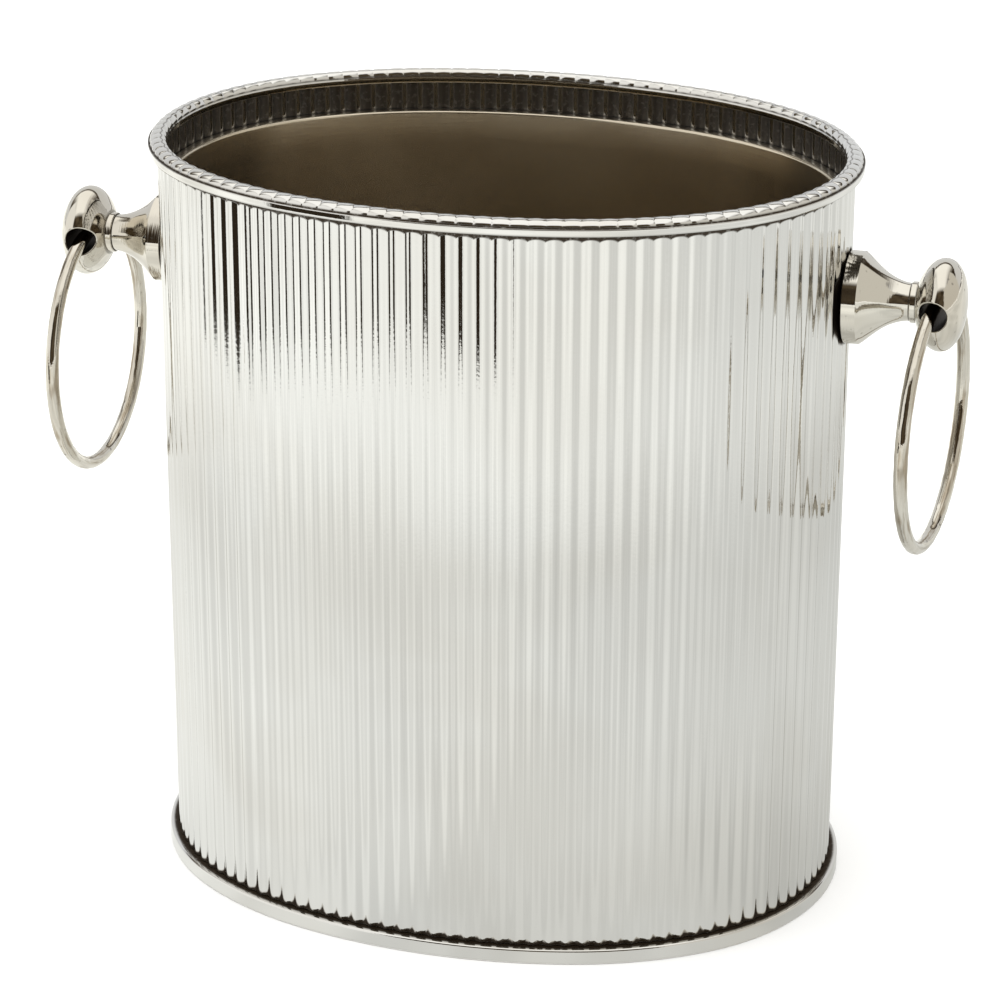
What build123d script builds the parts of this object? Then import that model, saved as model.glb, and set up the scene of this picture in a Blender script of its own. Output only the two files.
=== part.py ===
from build123d import *
import os
from math import cos, sin, radians, hypot, atan2, degrees

# Oval champagne bucket with a fluted wall, a gadrooned rim border, a flanged
# liner and a hanging ring handle on each end.  Millimetres, +Z up, +X along
# the long axis of the oval.  Origin: on the table, at the centre of the foot.

# ---------------------------------------------------------------- driving dimensions
HEIGHT = 215.0            # overall height, foot to top of rim

# oval over the flute crests: eight tangent arcs (end, shoulder, side)
OVAL_LENGTH = 194.7       # along X
END_R = 64.39             # end arcs
END_HALF_ANGLE = 52.966
SHOULDER_R = 96.15        # shoulder arcs
SHOULDER_TO = 73.873      # the side arcs start at this angle

FLUTES = 116              # full waves round the wall
FLUTE_DEPTH = 0.6         # crest to valley
SHEET = 0.8               # wall sheet

FOOT_HEIGHT = 4.4
FOOT_OVERHANG = 2.5       # foot beyond the flute crests
FOOT_BAND = 2.0           # thickness of the standing band
LEDGE_T = 1.0             # flat ledge on top of the foot band
LEDGE_IN = 6.0            # ledge reaches this far inside the crests
BASE_T = 1.0

RIM_HEIGHT = 4.0
RIM_OUT = 2.5            # rim beyond the flute crests
RIM_IN = 3.0              # rim inside the flute crests

FLANGE_DROP = 12.0        # liner flange below the top of the rim
FLANGE_T = 1.0
FLANGE_GAP = 0.05
LINER_IN = 4.6            # liner inner wall, inside the crests, at the flange
LINER_T = 1.0
LINER_TAPER = 3.0         # degrees of draft
LINER_BOTTOM = 9.0
LEDGE_RING_H = 3.0        # shelf ring that carries the liner flange
LEDGE_RING_IN = 3.2

HANDLE_DROP = 36.9        # handle axis below the top of the rim
BOSS_R = 12.8
BOSS_BAND = 4.4
NECK_R = 5.2
NECK_END = 17.35          # boss length, from the flute crests outwards
KNOB_R = 12.8
KNOB_MID = 26.1           # widest plane of the knob
KNOB_END = 32.6
SHOULDER = 5.7            # small collar turned on the back of the knob
EYE_D = 7.8               # hole for the ring, along Y
EYE_AT = 24.9
STUD_R = 2.5
STUD_HOLE_R = 2.65
PLATE_T = 0.8             # curved backing plate inside the wall
PLATE_SIZE = 18.0
NUT_AF = 8.0
NUT_T = 1.3
RING_R = 35.0             # centreline radius of the ring
WIRE_R = 2.0
RING_YAW = 5.0            # the right ring hangs a little askew in its eye

# ---------------------------------------------------------------- derived
HALF = OVAL_LENGTH / 2
HANDLE_Z = HEIGHT - HANDLE_DROP
WALL_TOP = HEIGHT - RIM_HEIGHT
EYE_X = HALF + EYE_AT

# arc centres of the oval, first quadrant
C1 = (HALF - END_R, 0.0)
C2 = (C1[0] + (END_R - SHOULDER_R) * cos(radians(END_HALF_ANGLE)),
      (END_R - SHOULDER_R) * sin(radians(END_HALF_ANGLE)))
SIDE_R = SHOULDER_R + C2[0] / cos(radians(SHOULDER_TO))
C3 = (0.0, C2[1] + (SHOULDER_R - SIDE_R) * sin(radians(SHOULDER_TO)))
HALF_WIDTH = C3[1] + SIDE_R


def oval_arcs(d):
    """The eight arcs of the oval, offset outwards by d: centre, radius, start, sweep."""
    a, s = END_HALF_ANGLE, SHOULDER_TO
    return [
        ((C1[0], 0), END_R + d, -a, 2 * a),
        ((C2[0], C2[1]), SHOULDER_R + d, a, s - a),
        ((0, C3[1]), SIDE_R + d, s, 180 - 2 * s),
        ((-C2[0], C2[1]), SHOULDER_R + d, 180 - s, s - a),
        ((-C1[0], 0), END_R + d, 180 - a, 2 * a),
        ((-C2[0], -C2[1]), SHOULDER_R + d, 180 + a, s - a),
        ((0, -C3[1]), SIDE_R + d, 180 + s, 180 - 2 * s),
        ((C2[0], -C2[1]), SHOULDER_R + d, 360 - s, s - a),
    ]


def oval_line(d):
    """Draws the offset oval in the line builder that is open."""
    for centre, radius, start, sweep in oval_arcs(d):
        CenterArc(centre, radius, start, sweep)


def oval_point(s, d):
    """Point at arc length s from the +X end along the flute mid line, offset by d."""
    mid = -FLUTE_DEPTH / 2
    arcs = oval_arcs(mid)
    lengths = [r * radians(w) for _, r, _, w in arcs]
    s = (s + lengths[0] / 2) % sum(lengths)
    for (c, r, a0, w), length in zip(arcs, lengths):
        if s <= length:
            ang = radians(a0 + w * s / length)
            return (c[0] + (r + d) * cos(ang), c[1] + (r + d) * sin(ang))
        s -= length
    return (HALF + mid + d, 0.0)


PERIMETER = sum(r * radians(w) for _, r, _, w in oval_arcs(-FLUTE_DEPTH / 2))
PITCH = PERIMETER / FLUTES


def flute_edges(d):
    """One arc over each crest and one through each valley, offset by d."""
    h = FLUTE_DEPTH / 2
    edges = []
    for i in range(FLUTES):
        p = [oval_point((i + k) * PITCH, d + o)
             for k, o in ((-0.25, 0), (0, h), (0.25, 0), (0.5, -h), (0.75, 0))]
        edges.append(ThreePointArc(p[0], p[1], p[2], mode=Mode.PRIVATE))
        edges.append(ThreePointArc(p[2], p[3], p[4], mode=Mode.PRIVATE))
    return edges


os.makedirs("parts", exist_ok=True)

# ---------------------------------------------------------------- body
# corrugated sleeve, drilled at each end for the handle stud
with BuildPart() as fluted_wall:
    with BuildSketch(Plane.XY.offset(FOOT_HEIGHT)):
        make_face(flute_edges(0))
        make_face(flute_edges(-SHEET), mode=Mode.SUBTRACT)
    extrude(amount=WALL_TOP - FOOT_HEIGHT)
    with BuildSketch(Plane.YZ.offset(-HALF - 5)):
        with Locations((0, HANDLE_Z)):
            Circle(STUD_HOLE_R)
    extrude(amount=2 * HALF + 10, mode=Mode.SUBTRACT)

# rim border: rounded on top, upright on its outer face
with BuildPart() as rim_border:
    with BuildSketch(Plane.XY.offset(WALL_TOP)):
        with BuildLine():
            oval_line(RIM_OUT)
        make_face()
        with BuildLine():
            oval_line(-RIM_IN)
        make_face(mode=Mode.SUBTRACT)
    extrude(amount=RIM_HEIGHT)
    fillet(rim_border.faces().sort_by(Axis.Z)[-1].edges(), 1.3)
    fillet(rim_border.faces().sort_by(Axis.Z)[0].edges(), 0.5)

# foot: standing band with a flat ledge that carries the wall
with BuildPart() as foot_ring:
    with BuildSketch(Plane.XY):
        with BuildLine():
            oval_line(FOOT_OVERHANG)
        make_face()
        with BuildLine():
            oval_line(FOOT_OVERHANG - FOOT_BAND)
        make_face(mode=Mode.SUBTRACT)
    extrude(amount=FOOT_HEIGHT)
    with BuildSketch(Plane.XY.offset(FOOT_HEIGHT - LEDGE_T)):
        with BuildLine():
            oval_line(FOOT_OVERHANG - FOOT_BAND / 2)
        make_face()
        with BuildLine():
            oval_line(-LEDGE_IN)
        make_face(mode=Mode.SUBTRACT)
    extrude(amount=LEDGE_T)
    outer = foot_ring.edges().filter_by(
        lambda e: e.bounding_box().max.Z - e.bounding_box().min.Z < 1e-3
        and e.center().Z > FOOT_HEIGHT - 1e-3
        and hypot(e.center().X / HALF, e.center().Y / HALF_WIDTH) > 0.98
        and abs(e.radius - round(e.radius, 6)) < 1)
    crown = [e for e in outer if min(
        abs(e.radius - (r + FOOT_OVERHANG)) for _, r, _, _ in oval_arcs(0)) < 0.01]
    fillet(crown, 0.6)

# bottom pan, lying on the ledge inside the wall
with BuildPart() as base_plate:
    with BuildSketch(Plane.XY.offset(FOOT_HEIGHT)):
        with BuildLine():
            oval_line(-FLUTE_DEPTH - SHEET - 0.1)
        make_face()
    extrude(amount=BASE_T)

# shelf ring soldered inside the wall, under the liner flange
FLANGE_TOP = HEIGHT - FLANGE_DROP
with BuildPart() as liner_shelf_ring:
    with BuildSketch(Plane.XY.offset(FLANGE_TOP - FLANGE_T - LEDGE_RING_H)):
        with BuildLine():
            oval_line(-FLUTE_DEPTH - SHEET)
        make_face()
        with BuildLine():
            oval_line(-LEDGE_RING_IN)
        make_face(mode=Mode.SUBTRACT)
    extrude(amount=LEDGE_RING_H)

# liner: drawn tub with a flat flange and a rolled inner edge
with BuildPart() as liner:
    with BuildSketch(Plane.XY.offset(FLANGE_TOP - FLANGE_T)):
        with BuildLine():
            oval_line(-LINER_IN + LINER_T)
        make_face()
    extrude(amount=-(FLANGE_TOP - FLANGE_T - LINER_BOTTOM), taper=LINER_TAPER)
    fillet(liner.faces().sort_by(Axis.Z)[0].edges(), 11.0)
    with BuildSketch(Plane.XY.offset(FLANGE_TOP - FLANGE_T)):
        with BuildLine():
            oval_line(-FLUTE_DEPTH - SHEET - FLANGE_GAP)
        make_face()
    extrude(amount=FLANGE_T)
with BuildPart() as liner_void:
    with BuildSketch(Plane.XY.offset(FLANGE_TOP)):
        with BuildLine():
            oval_line(-LINER_IN)
        make_face()
    extrude(amount=-(FLANGE_TOP - LINER_BOTTOM - LINER_T), taper=LINER_TAPER)
    fillet(liner_void.faces().sort_by(Axis.Z)[0].edges(), 10.0)
with BuildPart() as liner_tub:
    add(liner.part)
    add(liner_void.part, mode=Mode.SUBTRACT)
    lip = [e for e in liner_tub.faces().sort_by(Axis.Z)[-1].edges() if min(
        abs(e.radius - (r - LINER_IN)) for _, r, _, _ in oval_arcs(0)) < 0.01]
    fillet(lip, 0.9)
liner = liner_tub

# ---------------------------------------------------------------- handle on the +X end
AXIS_X = Axis((0, 0, HANDLE_Z), (1, 0, 0))


def u(x):
    """Distance outwards from the flute crests, as X on the +X end."""
    return HALF + x


# trumpet boss: upright band, hollow flare, neck
with BuildPart() as boss_right:
    with BuildSketch(Plane.XZ):
        with BuildLine():
            z = HANDLE_Z
            Polyline((u(0), z + STUD_HOLE_R), (u(0), z + BOSS_R - 0.3), (u(0.3), z + BOSS_R),
                     (u(BOSS_BAND - 0.3), z + BOSS_R), (u(BOSS_BAND), z + BOSS_R - 0.25))
            Spline((u(BOSS_BAND), z + BOSS_R - 0.25), (u(6.4), z + 10.85), (u(8.8), z + 8.8),
                   (u(11.8), z + 6.8), (u(14.8), z + 5.62), (u(NECK_END), z + NECK_R),
                   tangents=((1, -0.72), (1, -0.06)))
            Polyline((u(NECK_END), z + NECK_R), (u(NECK_END), z + STUD_HOLE_R),
                     (u(0), z + STUD_HOLE_R))
        make_face()
    revolve(axis=AXIS_X)

# knob: turned oblate ball with a collar and its own threaded stud, eye drilled along Y
with BuildPart() as knob_right:
    with BuildSketch(Plane.XZ):
        with BuildLine():
            z = HANDLE_Z
            Polyline((u(-4.3), z), (u(-4.3), z + STUD_R - 0.3), (u(-4.0), z + STUD_R),
                     (u(NECK_END), z + STUD_R), (u(NECK_END), z + SHOULDER - 0.4),
                     (u(NECK_END + 0.4), z + SHOULDER), (u(19.2), z + SHOULDER))
            Spline((u(19.2), z + SHOULDER), (u(20.1), z + 7.8), (u(21.5), z + 10.1),
                   (u(23.5), z + 12.0), (u(KNOB_MID), z + KNOB_R), (u(28.5), z + 12.05),
                   (u(30.4), z + 10.0), (u(31.75), z + 7.0), (u(32.4), z + 3.7),
                   (u(KNOB_END), z), tangents=((0.25, 1), (0, -1)))
            Line((u(KNOB_END), z), (u(-4.3), z))
        make_face()
    revolve(axis=AXIS_X)
    with BuildSketch(Plane.XZ.offset(-20)):
        with Locations((EYE_X, HANDLE_Z)):
            Circle(EYE_D / 2)
    extrude(amount=40, mode=Mode.SUBTRACT)
    mouths = knob_right.edges().filter_by(
        lambda e: abs(e.center().Y) > 8 and e.bounding_box().size.X < EYE_D + 0.5)
    fillet(mouths, 0.35)

# curved backing plate inside the wall
with BuildPart() as backing_plate_right:
    with BuildSketch(Plane.XY.offset(HANDLE_Z - PLATE_SIZE / 2)):
        with BuildLine():
            oval_line(-FLUTE_DEPTH - SHEET)
        make_face()
        with BuildLine():
            oval_line(-FLUTE_DEPTH - SHEET - PLATE_T)
        make_face(mode=Mode.SUBTRACT)
        with Locations((HALF, 0)):
            Rectangle(40, PLATE_SIZE, mode=Mode.INTERSECT)
    extrude(amount=PLATE_SIZE)
    with BuildSketch(Plane.YZ.offset(HALF - 20)):
        with Locations((0, HANDLE_Z)):
            Circle(STUD_HOLE_R)
    extrude(amount=40, mode=Mode.SUBTRACT)

# thin nut on the stud
NUT_X = HALF - FLUTE_DEPTH - SHEET - PLATE_T - 0.2
with BuildPart() as nut_right:
    with BuildSketch(Plane.YZ.offset(NUT_X - NUT_T)):
        with Locations((0, HANDLE_Z)):
            RegularPolygon(NUT_AF / 2, 6, major_radius=False)
            Circle(STUD_R, mode=Mode.SUBTRACT)
    extrude(amount=NUT_T)


# ring of round wire through the eye, hanging
def ring_plane(side, yaw, lift):
    """Plane of the ring: horizontal in-plane direction turned by yaw about Z."""
    return Plane(origin=(side * EYE_X, 0, HANDLE_Z + lift - RING_R),
                 x_dir=(0, 0, 1), z_dir=(cos(radians(yaw)), -sin(radians(yaw)), 0))


with BuildPart(ring_plane(1, RING_YAW, 1.1)) as ring_right:
    Torus(RING_R, WIRE_R)

# ---------------------------------------------------------------- handle on the -X end
with BuildPart() as boss_left:
    mirror(boss_right.part, about=Plane.YZ)
with BuildPart() as knob_left:
    mirror(knob_right.part, about=Plane.YZ)
with BuildPart() as backing_plate_left:
    mirror(backing_plate_right.part, about=Plane.YZ)
with BuildPart() as nut_left:
    mirror(nut_right.part, about=Plane.YZ)
with BuildPart(ring_plane(-1, 0.0, 0.7)) as ring_left:
    Torus(RING_R, WIRE_R)

# ---------------------------------------------------------------- export
nodes = {
    "fluted_wall": fluted_wall, "rim_border": rim_border, "foot_ring": foot_ring,
    "base_plate": base_plate, "liner": liner, "liner_shelf_ring": liner_shelf_ring,
    "boss_left": boss_left, "knob_left": knob_left, "backing_plate_left": backing_plate_left,
    "nut_left": nut_left, "ring_left": ring_left,
    "boss_right": boss_right, "knob_right": knob_right,
    "backing_plate_right": backing_plate_right, "nut_right": nut_right,
    "ring_right": ring_right,
}
for label, node in nodes.items():
    node.part.label = label
    export_step(node.part, f"parts/{label}.step")

print("half width", round(HALF_WIDTH, 3), "pitch", round(PITCH, 3), "side radius", round(SIDE_R, 2))
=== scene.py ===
import math
import bpy
import numpy as np
from mathutils import Matrix, Vector


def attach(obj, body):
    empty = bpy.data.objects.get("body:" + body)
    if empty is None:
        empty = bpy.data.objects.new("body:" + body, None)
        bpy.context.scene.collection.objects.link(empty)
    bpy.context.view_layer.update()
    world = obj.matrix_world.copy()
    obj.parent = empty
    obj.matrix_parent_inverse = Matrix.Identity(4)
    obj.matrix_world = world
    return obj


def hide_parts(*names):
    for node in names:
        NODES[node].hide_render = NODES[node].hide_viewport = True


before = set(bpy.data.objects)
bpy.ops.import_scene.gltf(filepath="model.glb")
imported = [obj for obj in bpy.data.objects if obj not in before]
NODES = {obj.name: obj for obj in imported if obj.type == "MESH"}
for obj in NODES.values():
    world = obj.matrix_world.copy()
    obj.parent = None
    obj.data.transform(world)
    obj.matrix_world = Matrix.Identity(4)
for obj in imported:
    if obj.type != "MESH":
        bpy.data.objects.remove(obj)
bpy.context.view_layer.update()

MM = 0.001
rng = np.random.default_rng(7411)

# ------------------------------------------------------------------ sizes, as in part.py (mm)
HEIGHT, HALF = 215.0, 97.35
END_R, A1 = 64.39, math.radians(52.966)
SHOULDER_R, A2 = 96.15, math.radians(73.873)
FLUTES, DEPTH, SHEET = 116, 0.6, 0.8
FLUTE = DEPTH
FOOT_H, WALL_TOP = 4.4, 211.0
HANDLE_Z, EYE_X = 178.1, 122.25
C1X = HALF - END_R
C2 = (C1X + (END_R - SHOULDER_R) * math.cos(A1), (END_R - SHOULDER_R) * math.sin(A1))
SIDE_R = SHOULDER_R + C2[0] / math.cos(A2)
C3Y = C2[1] + (SHOULDER_R - SIDE_R) * math.sin(A2)
ARCS = [
    (C1X, 0.0, END_R, -A1, 2 * A1),
    (C2[0], C2[1], SHOULDER_R, A1, A2 - A1),
    (0.0, C3Y, SIDE_R, A2, math.pi - 2 * A2),
    (-C2[0], C2[1], SHOULDER_R, math.pi - A2, A2 - A1),
    (-C1X, 0.0, END_R, math.pi - A1, 2 * A1),
    (-C2[0], -C2[1], SHOULDER_R, math.pi + A1, A2 - A1),
    (0.0, -C3Y, SIDE_R, math.pi + A2, math.pi - 2 * A2),
    (C2[0], -C2[1], SHOULDER_R, 2 * math.pi - A2, A2 - A1),
]
LENGTHS = np.array([(r - DEPTH / 2) * w for _, _, r, _, w in ARCS])
PERIMETER = float(LENGTHS.sum())
PITCH = PERIMETER / FLUTES


def oval(s):
    """Point of the crest oval and its outward normal, at arc length s from the +X end."""
    s = (np.asarray(s, float) + LENGTHS[0] / 2) % PERIMETER
    edge = np.concatenate([[0], np.cumsum(LENGTHS)])
    i = np.clip(np.searchsorted(edge, s, side="right") - 1, 0, 7)
    arc = np.array(ARCS)[i]
    ang = arc[:, 3] + (s - edge[i]) / (arc[:, 2] - DEPTH / 2)
    n = np.stack([np.cos(ang), np.sin(ang)], 1)
    return arc[:, :2] + arc[:, 2:3] * n, n


def waves(s, z, seed, long=1.0):
    """Smooth unevenness of worked sheet, 0..1, from a few long waves round and up the wall."""
    r = np.random.default_rng(seed)
    out = np.zeros(np.broadcast(s, z).shape)
    for k in range(9):
        n = int(r.integers(2, 34))
        f = r.uniform(0.004, 0.03) / long
        out = out + np.sin(2 * math.pi * n * s / PERIMETER + r.uniform(0, 6.28)
                           + 3.0 * np.sin(2 * math.pi * f * z + r.uniform(0, 6.28))) / 9
    return 0.5 + 0.5 * out


# ------------------------------------------------------------------ mesh helpers
def make(name, verts_mm, faces, body, node, shade_patina_mask=None):
    me = bpy.data.meshes.new(name)
    v = np.asarray(verts_mm, float) * MM
    me.from_pydata(v.tolist(), [], faces)
    me.update()
    me.shade_smooth()
    if shade_patina_mask is not None:
        a = me.attributes.new("shade_patina_mask", "FLOAT", "POINT")
        a.data.foreach_set("value", np.asarray(shade_patina_mask, np.float32).ravel())
    ob = bpy.data.objects.new(name, me)
    bpy.context.scene.collection.objects.link(ob)
    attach(ob, body)
    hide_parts(node)
    return ob


def strip_faces(rows, cols, closed_rows):
    """Quads between consecutive rows of a lofted band, closed round the columns."""
    m = np.arange(rows if closed_rows else rows - 1)
    k = np.arange(cols)
    a = (m[:, None] * cols + k[None, :])
    b = (m[:, None] * cols + ((k + 1) % cols)[None, :])
    m2 = (m + 1) % rows
    c = (m2[:, None] * cols + ((k + 1) % cols)[None, :])
    d = (m2[:, None] * cols + k[None, :])
    return np.stack([a, b, c, d], -1).reshape(-1, 4).tolist()


def loft(cols, D, Z):
    """Vertices of rows x cols points: offset D from the crest oval at height Z."""
    s = np.arange(cols) * PERIMETER / cols
    p, n = oval(s)
    D = np.broadcast_to(D, (D.shape[0], cols))
    Z = np.broadcast_to(Z, (Z.shape[0], cols))
    x = p[None, :, 0] + D * n[None, :, 0]
    y = p[None, :, 1] + D * n[None, :, 1]
    return np.stack([x, y, Z], -1).reshape(-1, 3)


def smooth01(x):
    x = np.clip(x, 0, 1)
    return x * x * (3 - 2 * x)


# ------------------------------------------------------------------ materials
def tree(name):
    m = bpy.data.materials.new(name)
    m.use_nodes = True
    nt = m.node_tree
    return m, nt, nt.nodes["Principled BSDF"]


def noise(nt, vec, scale, detail=3.0, rough=0.5, distortion=0.0):
    n = nt.nodes.new("ShaderNodeTexNoise")
    n.inputs["Scale"].default_value = scale
    n.inputs["Detail"].default_value = detail
    n.inputs["Roughness"].default_value = rough
    n.inputs["Distortion"].default_value = distortion
    nt.links.new(vec, n.inputs["Vector"])
    return n.outputs["Fac"]


def remap(nt, fac, a, b, lo, hi):
    n = nt.nodes.new("ShaderNodeMapRange")
    n.interpolation_type = "SMOOTHSTEP"
    for key, v in (("From Min", a), ("From Max", b), ("To Min", lo), ("To Max", hi)):
        n.inputs[key].default_value = v
    nt.links.new(fac, n.inputs["Value"])
    return n.outputs["Result"]


def mapped(nt, scale):
    tc = nt.nodes.new("ShaderNodeTexCoord")
    mp = nt.nodes.new("ShaderNodeMapping")
    mp.inputs["Scale"].default_value = scale
    nt.links.new(tc.outputs["Object"], mp.inputs["Vector"])
    return mp.outputs["Vector"]


def math_node(nt, op, a, b):
    n = nt.nodes.new("ShaderNodeMath")
    n.operation = op
    for i, v in enumerate((a, b)):
        if isinstance(v, (int, float)):
            n.inputs[i].default_value = v
        else:
            nt.links.new(v, n.inputs[i])
    return n.outputs[0]


def mix(nt, fac, a, b):
    n = nt.nodes.new("ShaderNodeMix")
    n.data_type = "RGBA"
    if isinstance(fac, (int, float)):
        n.inputs["Factor"].default_value = fac
    else:
        nt.links.new(fac, n.inputs["Factor"])
    for key, v in ((6, a), (7, b)):
        if isinstance(v, tuple):
            n.inputs[key].default_value = (*v, 1)
        else:
            nt.links.new(v, n.inputs[key])
    return n.outputs[2]


def metal(name, bright, dull, rough=(0.03, 0.10), smudge=45.0, fine=(1, 1, 1), fine_scale=900.0,
          bump=0.02, pits=0.0, shade_patina_colour=(0.045, 0.032, 0.02), stain=0.25, where_shaded=None, streaks=None):
    """Polished, handled metal: smudges in the gloss, faint toning, fine marks, and a dark colour where the vertex mask
    says, which is painted shade in creases, joints and recesses with some patina.
    """
    m, nt, bsdf = tree(name)
    bsdf.inputs["Metallic"].default_value = 1.0
    pos = mapped(nt, (1, 1, 1))
    cloud = noise(nt, pos, smudge, 4.0, 0.55, 0.6)
    tone = noise(nt, pos, smudge * 0.4, 3.0, 0.5, 0.3)
    colour = mix(nt, remap(nt, tone, 0.35, 0.7, 0.0, stain * 2), bright, dull)
    marks = noise(nt, mapped(nt, fine), fine_scale, 2.0, 0.6)
    r = remap(nt, cloud, 0.35, 0.72, rough[0], rough[1])
    height = remap(nt, marks, 0.3, 0.7, 0.0, 1.0)
    # painted shade and patina: the vertex mask, broken up by noise, mixes in the dark colour
    at = nt.nodes.new("ShaderNodeAttribute")
    at.attribute_name = "shade_patina_mask"
    edge = noise(nt, pos, 700.0, 3.0, 0.6)
    shade_patina_amount = math_node(nt, "MULTIPLY", at.outputs["Fac"], remap(nt, edge, 0.25, 0.5, 0.72, 1.0))
    if where_shaded:
        for part in where_shaded(nt):
            shade_patina_amount = math_node(nt, "MAXIMUM", shade_patina_amount, part)
    if streaks:
        lay = nt.nodes.new("ShaderNodeAttribute")
        lay.attribute_name = "lay"
        run = noise(nt, lay.outputs["Vector"], 620.0, 3.0, 0.6)
        colour = mix(nt, remap(nt, run, 0.46, 0.66, 0.0, 0.75), colour, streaks)
    if pits:
        spots = nt.nodes.new("ShaderNodeTexVoronoi")
        spots.inputs["Scale"].default_value = 420.0
        spots.inputs["Randomness"].default_value = 1.0
        nt.links.new(pos, spots.inputs["Vector"])
        where = remap(nt, noise(nt, pos, 130.0, 3.0, 0.6), 0.5, 0.68, 0.0, 1.0)
        pit = math_node(nt, "MULTIPLY", remap(nt, spots.outputs["Distance"], 0.10, 0.22, 1.0, 0.0), where)
        pit = math_node(nt, "MULTIPLY", pit, pits)
        shade_patina_amount = math_node(nt, "MAXIMUM", shade_patina_amount, pit)
        height = math_node(nt, "SUBTRACT", height, math_node(nt, "MULTIPLY", pit, 2.0))
    # painted shade: the surface is mixed towards the dark colour
    colour = mix(nt, shade_patina_amount, colour, shade_patina_colour)
    nt.links.new(colour, bsdf.inputs["Base Color"])
    total = math_node(nt, "MAXIMUM", r, math_node(nt, "MULTIPLY", shade_patina_amount, 0.5))
    nt.links.new(total, bsdf.inputs["Roughness"])
    bp = nt.nodes.new("ShaderNodeBump")
    bp.inputs["Strength"].default_value = bump
    bp.inputs["Distance"].default_value = 0.0002
    nt.links.new(height, bp.inputs["Height"])
    nt.links.new(bp.outputs["Normal"], bsdf.inputs["Normal"])
    return m


def xyz(nt):
    tc = nt.nodes.new("ShaderNodeTexCoord")
    sp = nt.nodes.new("ShaderNodeSeparateXYZ")
    nt.links.new(tc.outputs["Object"], sp.inputs[0])
    return math_node(nt, "ABSOLUTE", sp.outputs["X"], 0.0), sp.outputs["Y"], math_node(nt, "SUBTRACT", sp.outputs["Z"], HANDLE_Z * MM)


def hypot(nt, a, b):
    return math_node(nt, "SQRT", math_node(nt, "ADD", math_node(nt, "MULTIPLY", a, a), math_node(nt, "MULTIPLY", b, b)), 0.0)


def shade_behind_boss(nt):
    """Painted shade on the wall round the back of each boss, where the gap behind it is dark."""
    x, y, z = xyz(nt)
    r = hypot(nt, y, z)
    at_end = remap(nt, x, 0.080, 0.088, 0.0, 1.0)
    return [math_node(nt, "MULTIPLY", remap(nt, r, 0.0128, 0.0139, 0.97, 0.0), at_end)]


def handle_shade(nt):
    """Painted shade on the back edge of the boss, in the joint at the end of the neck, at the back of the knob and
    inside the eye.
    """
    x, y, z = xyz(nt)
    r = hypot(nt, math_node(nt, "SUBTRACT", x, EYE_X * MM), z)
    joint = math_node(nt, "ABSOLUTE", math_node(nt, "SUBTRACT", x, 0.11475), 0.0)
    knob_back = math_node(nt, "ABSOLUTE", math_node(nt, "SUBTRACT", x, 0.11660), 0.0)
    return [remap(nt, r, 0.00392, 0.00418, 1.0, 0.0), remap(nt, x, 0.09738, 0.09775, 1.0, 0.0),
            remap(nt, joint, 0.00006, 0.00022, 0.95, 0.0), remap(nt, knob_back, 0.00005, 0.00030, 0.55, 0.0)]


SILVER = metal("silver_polished", (0.75, 0.745, 0.725), (0.66, 0.64, 0.60), rough=(0.02, 0.07),
               where_shaded=shade_behind_boss)
RIM = metal("silver_rim", (0.76, 0.75, 0.725), (0.64, 0.61, 0.55), rough=(0.02, 0.08))
LINER = metal("silver_satin", (0.67, 0.60, 0.48), (0.57, 0.495, 0.385), rough=(0.20, 0.27), smudge=14.0,
              fine=(0.06, 0.06, 1.0), fine_scale=1600.0, bump=0.05, stain=0.3)
HANDLE = metal("handle_metal", (0.72, 0.69, 0.62), (0.57, 0.51, 0.42), rough=(0.02, 0.07), smudge=80.0,
               fine=(1.0, 0.03, 0.03), fine_scale=2400.0, bump=0.04, pits=0.5, where_shaded=handle_shade)
WIRE = metal("ring_metal", (0.72, 0.69, 0.62), (0.52, 0.46, 0.37), rough=(0.02, 0.08), smudge=90.0,
             bump=0.05, pits=0.9, streaks=(0.30, 0.235, 0.155))
PLAIN = metal("plain_metal", (0.50, 0.47, 0.42), (0.36, 0.33, 0.28), rough=(0.22, 0.42), smudge=60.0,
              bump=0.3, pits=0.6)


def dress(ob, mat):
    ob.data.materials.clear()
    ob.data.materials.append(mat)


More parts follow.
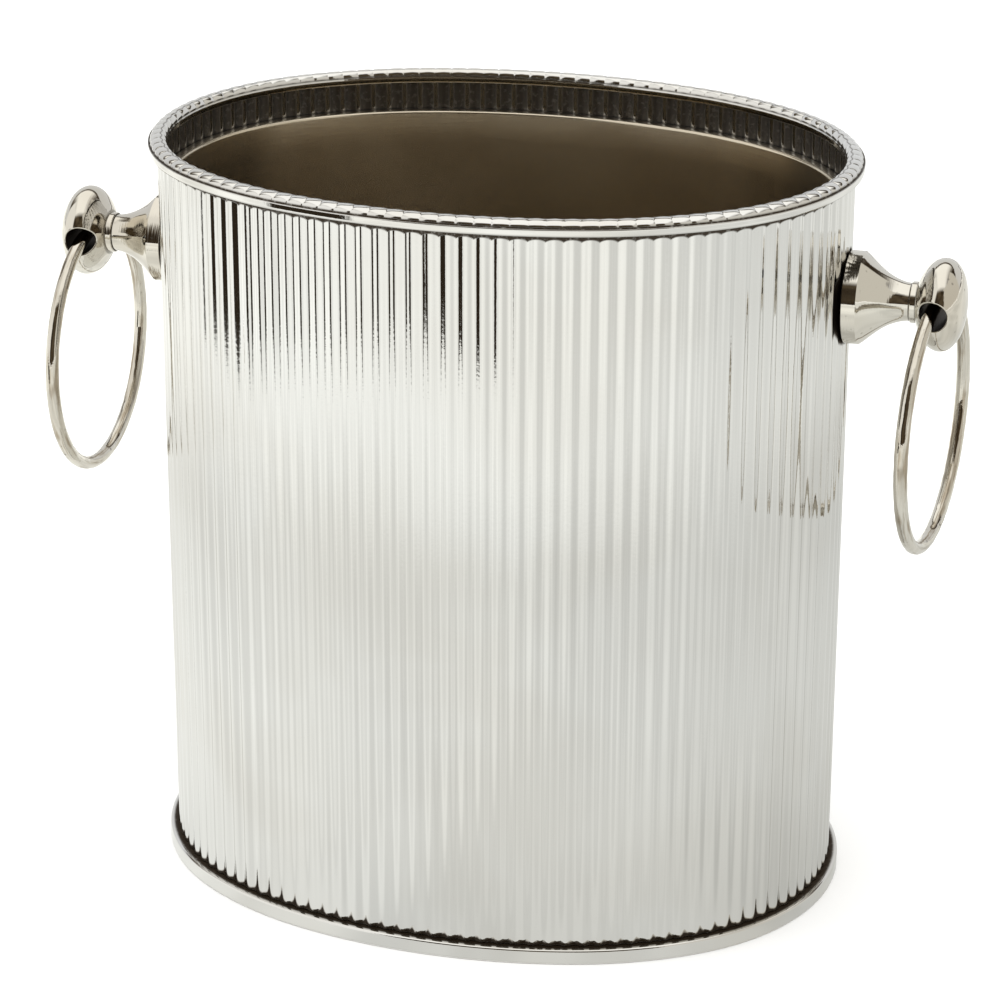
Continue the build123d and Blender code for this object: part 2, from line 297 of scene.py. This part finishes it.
# ------------------------------------------------------------------ fluted wall
def wall():
    per = 12
    cols = FLUTES * per
    s = np.arange(cols) * PERIMETER / cols
    k = np.round(s / PITCH).astype(int) % FLUTES
    z_out = np.concatenate([[FOOT_H, 4.55, 4.7, 4.85, 5.0, 5.6], np.linspace(9, 201, 33), [205, 206.8, 207.8, 208.3],
                            np.linspace(208.5, 210.4, 12), [210.75, WALL_TOP]])
    z_in = np.array([WALL_TOP, 210.6, 210.2, 209.7, 209.1, 208.4, 206.5, 203.5, 199, 170, 120, 60, FOOT_H])
    amp = 1 - 0.07 * rng.random(FLUTES)
    skew = 0.05 * (rng.random(FLUTES) - 0.5)

    def height(z):
        t = s[None, :] / PITCH - np.round(s[None, :] / PITCH)
        z = z[:, None]
        drift = skew[k][None, :] + 0.03 * (waves(s[None, :], z, 11) - 0.5)
        tt = np.abs(t + drift * (1 - (2 * t) ** 2))
        w = (1 - np.cos(2 * math.pi * np.clip(tt, 0, 0.5))) / 2
        lobe = 1 - (w ** 1.08) * (0.90 + 0.06 * amp[k][None, :])
        return -FLUTE + FLUTE * lobe - 0.04 * waves(s[None, :], z, 23)

    d_out = np.minimum(height(z_out), 0)
    d_in = height(z_in) - SHEET
    D = np.concatenate([d_out, d_in])
    Z = np.concatenate([z_out, z_in])[:, None]
    t = s / PITCH - np.round(s / PITCH)
    groove = (2 * np.abs(t)) ** 2
    g = np.zeros((len(z_out) + len(z_in), cols))
    zo = z_out[:, None]
    # painted shade and patina in the crevice under the rim band, reaching lower in the grooves
    g[:len(z_out)] = smooth01((zo - (209.42 - 0.80 * groove[None, :])) / 0.3) * 0.97
    # painted shade and dirt at the foot of the wall, where it meets the ledge
    g[:len(z_out)] = np.maximum(g[:len(z_out)], smooth01(1 - (zo - FOOT_H) / 0.5) * 1.35)
    zi = z_in[:, None]
    # inside: painted shade in the flute valleys, the ridges left lighter
    ridge = smooth01((2 * np.abs(t) - 0.62) / 0.25)
    g[len(z_out):] = 0.86 - 0.62 * ridge[None, :]
    # painted shade on the inside of the wall below the liner's shelf
    g[len(z_out):] = np.maximum(g[len(z_out):], 0.85 * smooth01(1 - (zi - 202.3) / 1.0))
    faces = strip_faces(D.shape[0], cols, True)
    return make("fluted_wall_worked", loft(cols, D, Z), faces, "bucket", "fluted_wall", g)


# ------------------------------------------------------------------ gadrooned rim
def rim():
    per = 16
    cols = FLUTES * per
    sec = np.array([
        # offset, height, lobe depth share, painted shade and patina in the creases, sideways scallop share
        (1.95, 211.00, 0.0, 0.9, 0), (2.25, 211.04, 0.0, 0.7, 0), (2.42, 211.18, 0.0, 0.25, 0),
        (2.50, 211.45, 0.0, 0.0, 0), (2.50, 211.95, 0.0, 0.0, 0), (2.50, 212.45, 0.0, 0.0, 0),
        (2.50, 212.80, 0.0, 0.0, 0), (2.47, 212.98, 0.0, 0.1, 0), (2.38, 213.08, 0.0, 0.7, 0),
        (2.22, 213.12, 0.1, 1.0, 0), (2.05, 213.16, 0.3, 1.0, 0), (1.96, 213.30, 0.7, 1.0, 0),
        (1.93, 213.48, 1.0, 0.7, 0), (1.88, 213.70, 1.0, 0.1, 0), (1.74, 213.98, 1.0, 0.0, 0),
        (1.52, 214.24, 1.0, 0.0, 0), (1.20, 214.50, 1.0, 0.0, 0), (0.80, 214.70, 1.0, 0.0, 0),
        (0.30, 214.87, 1.0, 0.0, 0), (-0.25, 214.97, 1.0, 0.0, 0.2), (-0.75, 215.00, 0.8, 0.0, 0.7),
        (-1.05, 214.95, 0.4, 0.15, 1.0), (-1.20, 214.80, 0.1, 0.75, 1.0), (-1.33, 214.78, 0.0, 0.75, 1.0),
        (-1.48, 214.88, 0.0, 0.1, 1.0), (-1.80, 214.83, 0.3, 0.0, 0.6), (-2.15, 214.63, 0.8, 0.0, 0.2),
        (-2.47, 214.30, 1.0, 0.0, 0), (-2.70, 213.92, 1.0, 0.0, 0), (-2.83, 213.52, 0.8, 0.3, 0),
        (-2.82, 213.28, 0.45, 0.75, 0), (-2.88, 213.05, 0.15, 0.3, 0), (-2.98, 212.85, 0.0, 0.05, 0),
        (-3.00, 212.55, 0.0, 0.0, 0), (-3.00, 212.10, 0.0, 0.1, 0), (-2.98, 211.65, 0.0, 0.1, 0),
        (-2.90, 211.30, 0.0, 0.4, 0), (-2.70, 211.08, 0.0, 0.8, 0), (-2.40, 211.00, 0.0, 0.9, 0),
        (-1.0, 211.00, 0.0, 0.9, 0), (0.8, 211.00, 0.0, 0.9, 0)])
    d, z, lobe, shade_patina_amount, side = sec.T
    td, tz = np.roll(d, -1) - np.roll(d, 1), np.roll(z, -1) - np.roll(z, 1)
    L = np.hypot(td, tz)
    nd, nz = tz / L, -td / L
    s = np.arange(cols) * PERIMETER / cols
    t = s / PITCH - np.round(s / PITCH)
    k = np.round(s / PITCH).astype(int) % FLUTES
    v = (1 - np.sqrt(1 - 0.90 * (2 * np.abs(t)) ** 2)) / (1 - math.sqrt(0.10))
    depth = 0.26 * (0.85 + 0.3 * rng.random(FLUTES))[k] * v
    cut = lobe[:, None] * depth[None, :]
    cut = cut + 0.03 * waves(s[None, :], z[:, None], 5) * (lobe[:, None] > 0)
    D = d[:, None] - nd[:, None] * cut + 0.22 * side[:, None] * np.cos(2 * math.pi * t)[None, :] * -1
    Z = z[:, None] - nz[:, None] * cut
    # painted shade in the rim's creases and under its edges
    g = shade_patina_amount[:, None] * np.ones((1, cols))
    faces = strip_faces(len(sec), cols, True)
    return make("rim_gadrooned", loft(cols, D, Z), faces, "bucket", "rim_border", g)


# ------------------------------------------------------------------ foot
def foot():
    cols = FLUTES * 6
    # offset, height, and painted shade: at the bottom edge on the table, on the ledge where the wall stands (shade and
    # dirt), and underneath
    sec = np.array([
        (2.30, 0.00, 0.6), (2.43, 0.07, 0.4), (2.50, 0.25, 0.15), (2.50, 0.8, 0.0), (2.50, 1.5, 0.0), (2.50, 2.3, 0.0),
        (2.50, 3.1, 0.0), (2.50, 3.70, 0.0), (2.46, 3.98, 0.0), (2.33, 4.20, 0.0), (2.12, 4.34, 0.0), (1.88, 4.395, 0.0),
        (1.62, 4.395, 0.25), (1.2, 4.40, 0.9), (0.6, 4.40, 1.35), (0.15, 4.40, 1.4), (-0.1, 4.40, 1.4), (-0.6, 4.40, 1.4), (-2.5, 4.40, 0.8),
        (-5.98, 4.40, 0.5), (-6.0, 4.38, 0.5), (-6.0, 3.42, 0.5), (-5.98, 3.40, 0.5), (-2.5, 3.40, 0.5), (0.48, 3.40, 0.7),
        (0.50, 3.38, 0.7), (0.50, 1.7, 0.5), (0.50, 0.12, 0.5), (0.62, 0.00, 0.5)])
    d, z, shade_patina_amount = sec.T
    s = np.arange(cols) * PERIMETER / cols
    face = (d > 1.5).astype(float)[:, None] * (z > 0.1)[:, None]
    D = d[:, None] - 0.03 * waves(s[None, :], z[:, None], 31) * face
    Z = z[:, None] - 0.02 * waves(s[None, :], z[:, None], 37) * face
    g = shade_patina_amount[:, None] * np.ones((1, cols))
    return make("foot_standing_band", loft(cols, D, Z), strip_faces(len(sec), cols, True), "bucket", "foot_ring",
                g)


# ------------------------------------------------------------------ liner
def liner():
    cols = 696
    top, tan3 = 203.0, math.tan(math.radians(3.0))
    # offset, height, painted shade: on the shelf next to the fluted wall and on the hidden outer face
    sec = [(-1.45, 202.0, 0.5), (-1.45, 202.9, 0.6), (-1.55, 203.0, 0.85), (-2.6, 203.0, 0.75), (-3.1, 203.0, 0.55), (-3.5, 203.0, 0.4)]
    for i in range(0, 9):
        a = math.radians(90 * i / 8)
        sec.append((-3.7 - 0.9 * math.sin(a), top - 0.9 + 0.9 * math.cos(a), 0.0))
    for z in (199, 194, 185, 172, 156, 138, 118, 98, 78, 58, 40, 28):
        sec.append((-4.6 - (top - z) * tan3, z, 0.0))
    d0 = -4.6 - (top - 20.0) * tan3
    for i in range(0, 11):
        a = math.radians(3 + 87 * i / 10)
        sec.append((d0 - 10.0 + 10.0 * math.cos(a) / math.cos(math.radians(3)) * 1.0 - 0.0, 20.0 - 10.0 * math.sin(a), 0.05))
    sec += [(d0 - 22, 10.0, 0.0), (d0 - 38, 10.0, 0.0)]
    n_in = len(sec)
    out = [(d0 - 38, 9.0, 0.3), (d0 - 22, 9.0, 0.3)]
    d1 = -3.6 - (202.0 - 20.0) * tan3
    for i in range(10, -1, -1):
        a = math.radians(3 + 87 * i / 10)
        out.append((d1 - 11.0 + 11.0 * math.cos(a), 20.0 - 11.0 * math.sin(a), 0.3))
    for z in (40, 80, 120, 160, 190, 200, 201.5, 202.0):
        out.append((-3.6 - (202.0 - z) * tan3, z, 0.3))
    arr = np.array(sec + out)
    # the two floors are closed separately, so the path order is inner top-down, then outer bottom-up
    arr_in, arr_out = arr[:n_in], arr[n_in:]
    D = np.concatenate([arr_in[:, 0], arr_out[:, 0]])[:, None] * np.ones((1, cols))
    Z = np.concatenate([arr_in[:, 1], arr_out[:, 1]])[:, None]
    s = np.arange(cols) * PERIMETER / cols
    side = ((arr[:, 1] > 12) & (arr[:, 1] < 202) & (np.arange(len(arr)) < n_in)).astype(float)[:, None]
    D = D - (0.10 * waves(s[None, :], Z, 51, 1.5) + 0.35 * waves(s[None, :] / 2, 0.3 * Z, 58, 1.5)) * side
    verts = loft(cols, D, Z)
    faces = strip_faces(n_in, cols, False)
    off = n_in * cols
    more = strip_faces(len(arr_out), cols, False)
    faces += [[a + off for a in f] for f in more]
    faces.append([(n_in - 1) * cols + i for i in range(cols)])
    faces.append([off + i for i in reversed(range(cols))])
    last, first = (len(arr) - 1) * cols, 0
    faces += [[last + i, last + (i + 1) % cols, first + (i + 1) % cols, first + i] for i in range(cols)]
    # painted shade from the third value of each point
    g = arr[:, 2][:, None] * np.ones((1, cols))
    return make("liner_drawn", verts, faces, "bucket", "liner", g)


# ------------------------------------------------------------------ rings
def ring(name, side, yaw, lift, body, node, seed):
    nu, nv, R, r0 = 300, 32, 35.0, 2.0
    r = np.random.default_rng(seed)
    a = np.arange(nu) * 2 * math.pi / nu
    b = np.arange(nv) * 2 * math.pi / nv
    rr = np.zeros((nu, nv)) + r0
    for _ in range(14):
        f, g = int(r.integers(2, 60)), int(r.integers(0, 4))
        rr -= 0.007 * (1 + np.sin(f * a[:, None] + g * b[None, :] + r.uniform(0, 6.28)))
    # points round the wire; its top, where it rides in the eye, gets painted shade
    ca, sa = np.cos(a)[:, None], np.sin(a)[:, None]
    e1 = np.array([0, 0, 1.0])
    n = np.array([math.cos(math.radians(yaw)), -math.sin(math.radians(yaw)), 0.0])
    e2 = np.cross(n, e1)
    c = np.array([side * EYE_X, 0, HANDLE_Z + lift - R])
    rad = R + rr * np.cos(b)[None, :]
    off = rr * np.sin(b)[None, :]
    v = c + (rad * ca)[..., None] * e1 + (rad * sa)[..., None] * e2 + off[..., None] * n
    # painted shade on the top of the wire, inside the eye
    top = smooth01((ca - 0.985) / 0.012) * 0.6 * np.ones((1, nv))
    i, j = np.arange(nu), np.arange(nv)
    A = i[:, None] * nv + j
    B = ((i + 1) % nu)[:, None] * nv + j
    C = ((i + 1) % nu)[:, None] * nv + (j + 1) % nv
    Dd = i[:, None] * nv + (j + 1) % nv
    faces = np.stack([A, B, C, Dd], -1).reshape(-1, 4).tolist()
    ob = make(name, v.reshape(-1, 3), faces, body, node, top)
    lay = np.stack([np.abs(a[:, None] - math.pi) * R * 0.10 + 0 * b[None, :], r0 * np.cos(b)[None, :] + 0 * a[:, None],
                    r0 * np.sin(b)[None, :] + 0 * a[:, None]], -1) * MM
    at = ob.data.attributes.new("lay", "FLOAT_VECTOR", "POINT")
    at.data.foreach_set("vector", lay.reshape(-1).astype(np.float32))
    return ob


def face_out(ob):
    """Turn a closed shell so that its faces look outwards."""
    import bmesh
    bm = bmesh.new()
    bm.from_mesh(ob.data)
    bmesh.ops.recalc_face_normals(bm, faces=bm.faces)
    bm.to_mesh(ob.data)
    bm.free()
    ob.data.shade_smooth()


w, rm, ft, ln = wall(), rim(), foot(), liner()
rl = ring("ring_left_worn", -1, 0.0, 0.7, "ring_left", "ring_left", 3)
rr_ = ring("ring_right_worn", 1, 5.0, 1.1, "ring_right", "ring_right", 4)
for o in (w, rm, ft, ln, rl, rr_):
    face_out(o)
dress(w, SILVER); dress(rm, RIM); dress(ft, RIM); dress(ln, LINER); dress(rl, WIRE); dress(rr_, WIRE)
for name in ("boss_left", "boss_right", "knob_left", "knob_right"):
    dress(NODES[name], HANDLE)
for name in ("base_plate", "liner_shelf_ring", "backing_plate_left", "backing_plate_right", "nut_left", "nut_right"):
    dress(NODES[name], PLAIN)

# ------------------------------------------------------------------ camera
AZ, EL, DIST, ROLL = math.radians(15.2897), math.radians(21.7489), 1.030654, math.radians(0.1729)
target = Vector((-0.000770, 0.0, 0.107694))
back = Vector((math.sin(AZ) * math.cos(EL), -math.cos(AZ) * math.cos(EL), math.sin(EL)))
right = (-back).cross(Vector((0, 0, 1))).normalized()
up = right.cross(-back)
right, up = right * math.cos(ROLL) + up * math.sin(ROLL), -right * math.sin(ROLL) + up * math.cos(ROLL)
cam_data = bpy.data.cameras.new("camera")
cam_data.sensor_width = 36.0
cam_data.lens = 129.513
cam_data.clip_start, cam_data.clip_end = 0.01, 50.0
cam = bpy.data.objects.new("camera", cam_data)
bpy.context.scene.collection.objects.link(cam)
m = Matrix((right, up, back)).transposed().to_4x4()
m.translation = target + back * DIST
cam.matrix_world = m
bpy.context.scene.camera = cam
bpy.context.scene.view_settings.view_transform = "Standard"

# ------------------------------------------------------------------ studio
def stage_plane(name, corners, mat):
    me = bpy.data.meshes.new(name)
    me.from_pydata(corners, [], [tuple(range(len(corners)))])
    ob = bpy.data.objects.new(name, me)
    bpy.context.scene.collection.objects.link(ob)
    me.materials.append(mat)
    return ob


fm, fnt, fb = tree("paper_floor")
fb.inputs["Roughness"].default_value = 0.9
fb.inputs["Specular IOR Level"].default_value = 0.1
fnt.links.new(mix(fnt, noise(fnt, mapped(fnt, (1, 1, 1)), 3.0), (0.90, 0.90, 0.895), (0.93, 0.93, 0.925)), fb.inputs["Base Color"])
floor = stage_plane("floor", [(-6, -6, 0), (6, -6, 0), (6, 6, 0), (-6, 6, 0)], fm)

world = bpy.data.worlds.new("studio")
bpy.context.scene.world = world
world.use_nodes = True
wn = world.node_tree
bg = wn.nodes["Background"]
tc = wn.nodes.new("ShaderNodeTexCoord")
sep = wn.nodes.new("ShaderNodeSeparateXYZ")
wn.links.new(tc.outputs["Generated"], sep.inputs[0])

# direction as seen from the object: e above the table, c towards the camera side, r to its right
cz = sep.outputs["Z"]
c = math_node(wn, "ADD", math_node(wn, "MULTIPLY", sep.outputs["X"], 0.2637), math_node(wn, "MULTIPLY", sep.outputs["Y"], -0.9646))
r = math_node(wn, "ADD", math_node(wn, "MULTIPLY", sep.outputs["X"], 0.9646), math_node(wn, "MULTIPLY", sep.outputs["Y"], 0.2637))
alpha = math_node(wn, "ARCTAN2", r, c)                      # 0 towards the camera side, + to the right
tilt = math_node(wn, "ARCTAN2", cz, c)                      # 0 horizon at the camera side, pi/2 overhead, pi behind


def window(value, a0, a1, b0, b1):
    return math_node(wn, "MULTIPLY", remap(wn, value, a0, a1, 0.0, 1.0), remap(wn, value, b0, b1, 1.0, 0.0))


backdrop = remap(wn, tilt, 2.48, 2.54, 0.0, 1.0)
overhead = math_node(wn, "MULTIPLY", window(tilt, 0.80, 1.10, 2.32, 2.44), window(r, -0.75, -0.35, 0.35, 0.75))
left_box = math_node(wn, "MULTIPLY", window(alpha, -2.05, -1.95, -0.78, -0.66), remap(wn, cz, 0.80, 0.90, 1.0, 0.0))
right_card = math_node(wn, "MULTIPLY", window(alpha, 0.50, 0.54, 1.98, 2.06), remap(wn, cz, 0.74, 0.78, 1.0, 0.0))
room = mix(wn, remap(wn, noise(wn, tc.outputs["Generated"], 2.2, 2.0), 0.35, 0.65, 0.0, 1.0), (0.036, 0.026, 0.016), (0.105, 0.080, 0.050))
room = mix(wn, backdrop, room, (0.80, 0.81, 0.82))
room = mix(wn, overhead, room, (1.25, 1.24, 1.20))
room = mix(wn, left_box, room, (1.05, 1.04, 1.01))
room = mix(wn, right_card, room, (0.74, 0.715, 0.655))
path = wn.nodes.new("ShaderNodeLightPath")
wn.links.new(mix(wn, path.outputs["Is Glossy Ray"], (1.35, 1.345, 1.33), room), bg.inputs["Color"])
bg.inputs["Strength"].default_value = 1.0

# the table as the metal sees it, painted on a glowing card seen only in reflections: paper with painted shade close in
# and painted light brighter to the left, with the edge of the paper on the left
cm = bpy.data.materials.new("painted_table_reflection")
cm.use_nodes = True
cn = cm.node_tree
cn.nodes.clear()
geo = cn.nodes.new("ShaderNodeNewGeometry")
sp = cn.nodes.new("ShaderNodeSeparateXYZ")
cn.links.new(geo.outputs["Position"], sp.inputs[0])
X, Y = sp.outputs["X"], sp.outputs["Y"]
rho = math_node(cn, "SQRT", math_node(cn, "ADD", math_node(cn, "MULTIPLY", X, X), math_node(cn, "MULTIPLY", math_node(cn, "MULTIPLY", Y, 1.25), math_node(cn, "MULTIPLY", Y, 1.25))), 0.0)
phi = math_node(cn, "ARCTAN2", X, math_node(cn, "MULTIPLY", Y, -1.0))   # 0 towards -Y, + to the right
# painted shade on the table close to the object
shade_close_in = math_node(cn, "MULTIPLY", remap(cn, rho, 0.07, 0.20, 0.84, 0.93), remap(cn, rho, 0.38, 0.56, 1.0, 1.18))
# painted light: brighter to the left, darker to the right
light_falloff_across = remap(cn, phi, -1.2, 1.9, 1.07, 0.80)
ringv = cn.nodes.new("ShaderNodeCombineXYZ")
cn.links.new(math_node(cn, "SINE", phi, 0.0), ringv.inputs[0])
cn.links.new(math_node(cn, "COSINE", phi, 0.0), ringv.inputs[1])
cn.links.new(math_node(cn, "MULTIPLY", rho, 0.9), ringv.inputs[2])
cloud = remap(cn, noise(cn, ringv.outputs[0], 2.3, 2.0, 0.5), 0.3, 0.7, 0.86, 1.09)
left_edge = math_node(cn, "MULTIPLY", remap(cn, phi, -0.97, -0.91, 0.0, 1.0), remap(cn, phi, -0.60, -0.54, 1.0, 0.0))
ragged = noise(cn, geo.outputs["Position"], 9.0, 3.0, 0.6)
far = math_node(cn, "ADD", rho, math_node(cn, "MULTIPLY", ragged, 0.17))
off_paper = math_node(cn, "MULTIPLY", left_edge, remap(cn, far, 0.700, 0.722, 0.0, 1.0))
level = math_node(cn, "MULTIPLY", math_node(cn, "MULTIPLY", shade_close_in, cloud), light_falloff_across)
tone = mix(cn, math_node(cn, "MULTIPLY", level, 0.8), (0.0, 0.0, 0.0), (1.30, 1.312, 1.265))
tone = mix(cn, off_paper, tone, (0.030, 0.022, 0.014))
em = cn.nodes.new("ShaderNodeEmission")
cn.links.new(tone, em.inputs["Color"])
co = cn.nodes.new("ShaderNodeOutputMaterial")
cn.links.new(em.outputs[0], co.inputs[0])
card = stage_plane("painted_table_reflection_card", [(-3, -3, 0.0004), (3, -3, 0.0004), (3, 3, 0.0004), (-3, 3, 0.0004)], cm)
card.visible_camera = card.visible_diffuse = card.visible_shadow = card.visible_transmission = False


def area(name, loc, aim, size, power, colour=(1, 1, 1)):
    L = bpy.data.lights.new(name, "AREA")
    L.shape = "RECTANGLE"
    L.size, L.size_y = size
    L.energy = power
    L.color = colour
    ob = bpy.data.objects.new(name, L)
    ob.location = loc
    ob.rotation_euler = (Vector(aim) - Vector(loc)).to_track_quat("-Z", "Y").to_euler()
    bpy.context.scene.collection.objects.link(ob)
    return ob


for key in (area("soft_left", (-1.1, -0.5, 1.0), (0, 0, 0.1), (0.8, 1.0), 6.0), area("soft_right", (1.2, -0.2, 0.9), (0, 0, 0.1), (0.6, 0.9), 3.0)):
    key.visible_glossy = False
